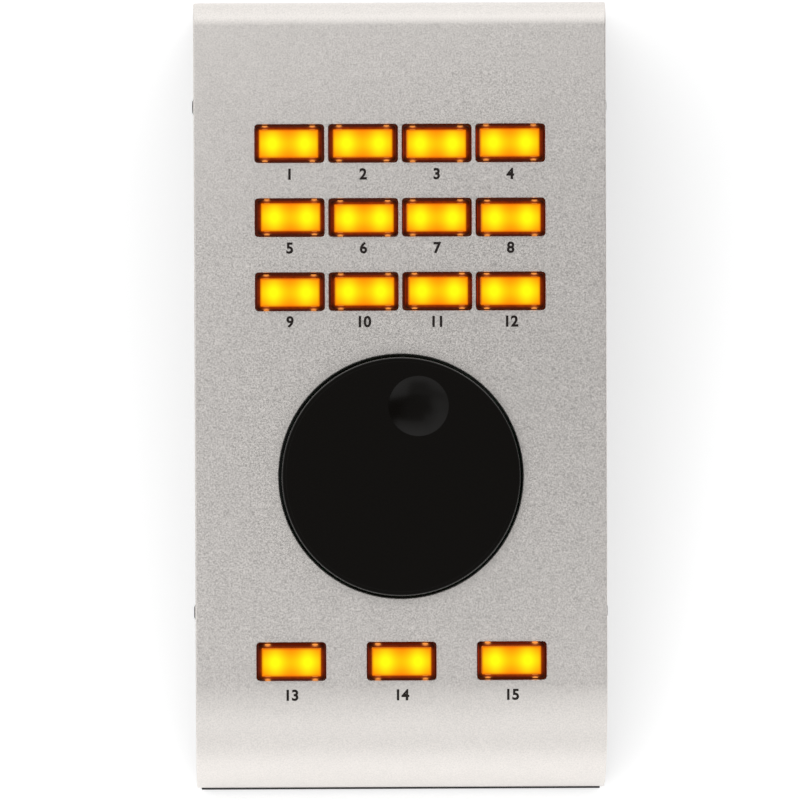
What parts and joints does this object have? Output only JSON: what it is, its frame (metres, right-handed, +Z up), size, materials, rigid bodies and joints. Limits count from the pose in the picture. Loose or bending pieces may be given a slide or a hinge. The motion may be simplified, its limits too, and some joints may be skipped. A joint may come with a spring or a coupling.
{
  "type": "desktop remote controller",
  "caption": "Sloping desktop remote controller: a bent sheet aluminium case with rows of lit amber keys, a black jog wheel with a finger dimple and rear sockets.",
  "frame": {"origin": "on the desk, under the middle of the case", "axes": "+Z up, +Y away from the user towards the rear wall, +X to the user's right"},
  "size_m": [0.1, 0.1936, 0.055],
  "materials": {
    "cover_silver": "bead blasted and clear anodised, fine sparkling grain",
    "tray_black": "black powder coat, fine texture",
    "bracket_steel": "zinc plated",
    "screw_black": "black oxide",
    "screw_steel": "zinc plated",
    "foot_rubber": "matt",
    "board_green": "solder mask over glass fibre",
    "standoff_steel": "nickel plated",
    "switch_plastic": "moulded, satin",
    "dome_silicone": "moulded, matt",
    "led_amber": "clear amber window in a white case",
    "key_smoke": "smoked brown, satin gloss",
    "key_amber": "translucent amber, lit from below",
    "encoder_case": "tin plated",
    "encoder_brass": "turned and threaded",
    "washer_steel": "zinc plated",
    "nut_steel": "nickel plated",
    "shaft_steel": "ground",
    "hub_brass": "turned",
    "wheel_black": "fine satin texture",
    "usb_tin": "tin plated sheet",
    "usb_black": "moulded",
    "contact_gold": "gold plated",
    "jack_black": "moulded",
    "contact_spring": "tin plated bronze",
    "chip_black": "moulded",
    "crystal_can": "drawn can",
    "capacitor_sleeve": "shrink sleeve"
  },
  "bodies": {
    "chassis": {"top_cover": "cover_silver", "base_tray": "tray_black", "cover_brackets": "bracket_steel", "side_screws": "screw_black", "rubber_feet": "foot_rubber", "edge_strips": "foot_rubber", "main_board": "board_green", "board_standoffs": "standoff_steel", "board_screws": "screw_steel", "switch_bases": "switch_plastic", "key_domes": "dome_silicone", "key_leds": "led_amber", "encoder_body": "encoder_case", "encoder_bushing": "encoder_brass", "encoder_washer": "washer_steel", "encoder_nut": "nut_steel", "usb_shell": "usb_tin", "usb_insulator": "usb_black", "usb_contacts": "contact_gold", "jack_body": "jack_black", "jack_contacts": "contact_spring", "controller_chip": "chip_black", "clock_crystal": "crystal_can", "filter_capacitors": "capacitor_sleeve"},
    "key_01": {"key_cap_01": "key_smoke", "key_lens_01": "key_amber"},
    "key_02": {"key_cap_02": "key_smoke", "key_lens_02": "key_amber"},
    "key_03": {"key_cap_03": "key_smoke", "key_lens_03": "key_amber"},
    "key_04": {"key_cap_04": "key_smoke", "key_lens_04": "key_amber"},
    "key_05": {"key_cap_05": "key_smoke", "key_lens_05": "key_amber"},
    "key_06": {"key_cap_06": "key_smoke", "key_lens_06": "key_amber"},
    "key_07": {"key_cap_07": "key_smoke", "key_lens_07": "key_amber"},
    "key_08": {"key_cap_08": "key_smoke", "key_lens_08": "key_amber"},
    "key_09": {"key_cap_09": "key_smoke", "key_lens_09": "key_amber"},
    "key_10": {"key_cap_10": "key_smoke", "key_lens_10": "key_amber"},
    "key_11": {"key_cap_11": "key_smoke", "key_lens_11": "key_amber"},
    "key_12": {"key_cap_12": "key_smoke", "key_lens_12": "key_amber"},
    "key_13": {"key_cap_13": "key_smoke", "key_lens_13": "key_amber"},
    "key_14": {"key_cap_14": "key_smoke", "key_lens_14": "key_amber"},
    "key_15": {"key_cap_15": "key_smoke", "key_lens_15": "key_amber"},
    "wheel": {"jog_wheel": "wheel_black", "wheel_hub": "hub_brass", "hub_screw": "screw_steel", "encoder_shaft": "shaft_steel"}
  },
  "joints": [
    {"name": "key_01_press", "type": "slide", "parent": "chassis", "child": "key_01", "axis": [0, 0.1564, -0.9877], "range_m": [0, 0.0009], "stiffness_N_per_m": 1500, "springref_m": -0.0003, "deforming": ["key_domes"]},
    {"name": "key_02_press", "type": "slide", "parent": "chassis", "child": "key_02", "axis": [0, 0.1564, -0.9877], "range_m": [0, 0.0009], "stiffness_N_per_m": 1500, "springref_m": -0.0003, "deforming": ["key_domes"]},
    {"name": "key_03_press", "type": "slide", "parent": "chassis", "child": "key_03", "axis": [0, 0.1564, -0.9877], "range_m": [0, 0.0009], "stiffness_N_per_m": 1500, "springref_m": -0.0003, "deforming": ["key_domes"]},
    {"name": "key_04_press", "type": "slide", "parent": "chassis", "child": "key_04", "axis": [0, 0.1564, -0.9877], "range_m": [0, 0.0009], "stiffness_N_per_m": 1500, "springref_m": -0.0003, "deforming": ["key_domes"]},
    {"name": "key_05_press", "type": "slide", "parent": "chassis", "child": "key_05", "axis": [0, 0.1564, -0.9877], "range_m": [0, 0.0009], "stiffness_N_per_m": 1500, "springref_m": -0.0003, "deforming": ["key_domes"]},
    {"name": "key_06_press", "type": "slide", "parent": "chassis", "child": "key_06", "axis": [0, 0.1564, -0.9877], "range_m": [0, 0.0009], "stiffness_N_per_m": 1500, "springref_m": -0.0003, "deforming": ["key_domes"]},
    {"name": "key_07_press", "type": "slide", "parent": "chassis", "child": "key_07", "axis": [0, 0.1564, -0.9877], "range_m": [0, 0.0009], "stiffness_N_per_m": 1500, "springref_m": -0.0003, "deforming": ["key_domes"]},
    {"name": "key_08_press", "type": "slide", "parent": "chassis", "child": "key_08", "axis": [0, 0.1564, -0.9877], "range_m": [0, 0.0009], "stiffness_N_per_m": 1500, "springref_m": -0.0003, "deforming": ["key_domes"]},
    {"name": "key_09_press", "type": "slide", "parent": "chassis", "child": "key_09", "axis": [0, 0.1564, -0.9877], "range_m": [0, 0.0009], "stiffness_N_per_m": 1500, "springref_m": -0.0003, "deforming": ["key_domes"]},
    {"name": "key_10_press", "type": "slide", "parent": "chassis", "child": "key_10", "axis": [0, 0.1564, -0.9877], "range_m": [0, 0.0009], "stiffness_N_per_m": 1500, "springref_m": -0.0003, "deforming": ["key_domes"]},
    {"name": "key_11_press", "type": "slide", "parent": "chassis", "child": "key_11", "axis": [0, 0.1564, -0.9877], "range_m": [0, 0.0009], "stiffness_N_per_m": 1500, "springref_m": -0.0003, "deforming": ["key_domes"]},
    {"name": "key_12_press", "type": "slide", "parent": "chassis", "child": "key_12", "axis": [0, 0.1564, -0.9877], "range_m": [0, 0.0009], "stiffness_N_per_m": 1500, "springref_m": -0.0003, "deforming": ["key_domes"]},
    {"name": "key_13_press", "type": "slide", "parent": "chassis", "child": "key_13", "axis": [0, 0.1564, -0.9877], "range_m": [0, 0.0009], "stiffness_N_per_m": 1500, "springref_m": -0.0003, "deforming": ["key_domes"]},
    {"name": "key_14_press", "type": "slide", "parent": "chassis", "child": "key_14", "axis": [0, 0.1564, -0.9877], "range_m": [0, 0.0009], "stiffness_N_per_m": 1500, "springref_m": -0.0003, "deforming": ["key_domes"]},
    {"name": "key_15_press", "type": "slide", "parent": "chassis", "child": "key_15", "axis": [0, 0.1564, -0.9877], "range_m": [0, 0.0009], "stiffness_N_per_m": 1500, "springref_m": -0.0003, "deforming": ["key_domes"]},
    {"name": "wheel_turn", "type": "hinge", "parent": "chassis", "child": "wheel", "pos_m": [0, -0.02458, 0.03794], "axis": [0, -0.1564, 0.9877], "continuous": true}
  ]
}
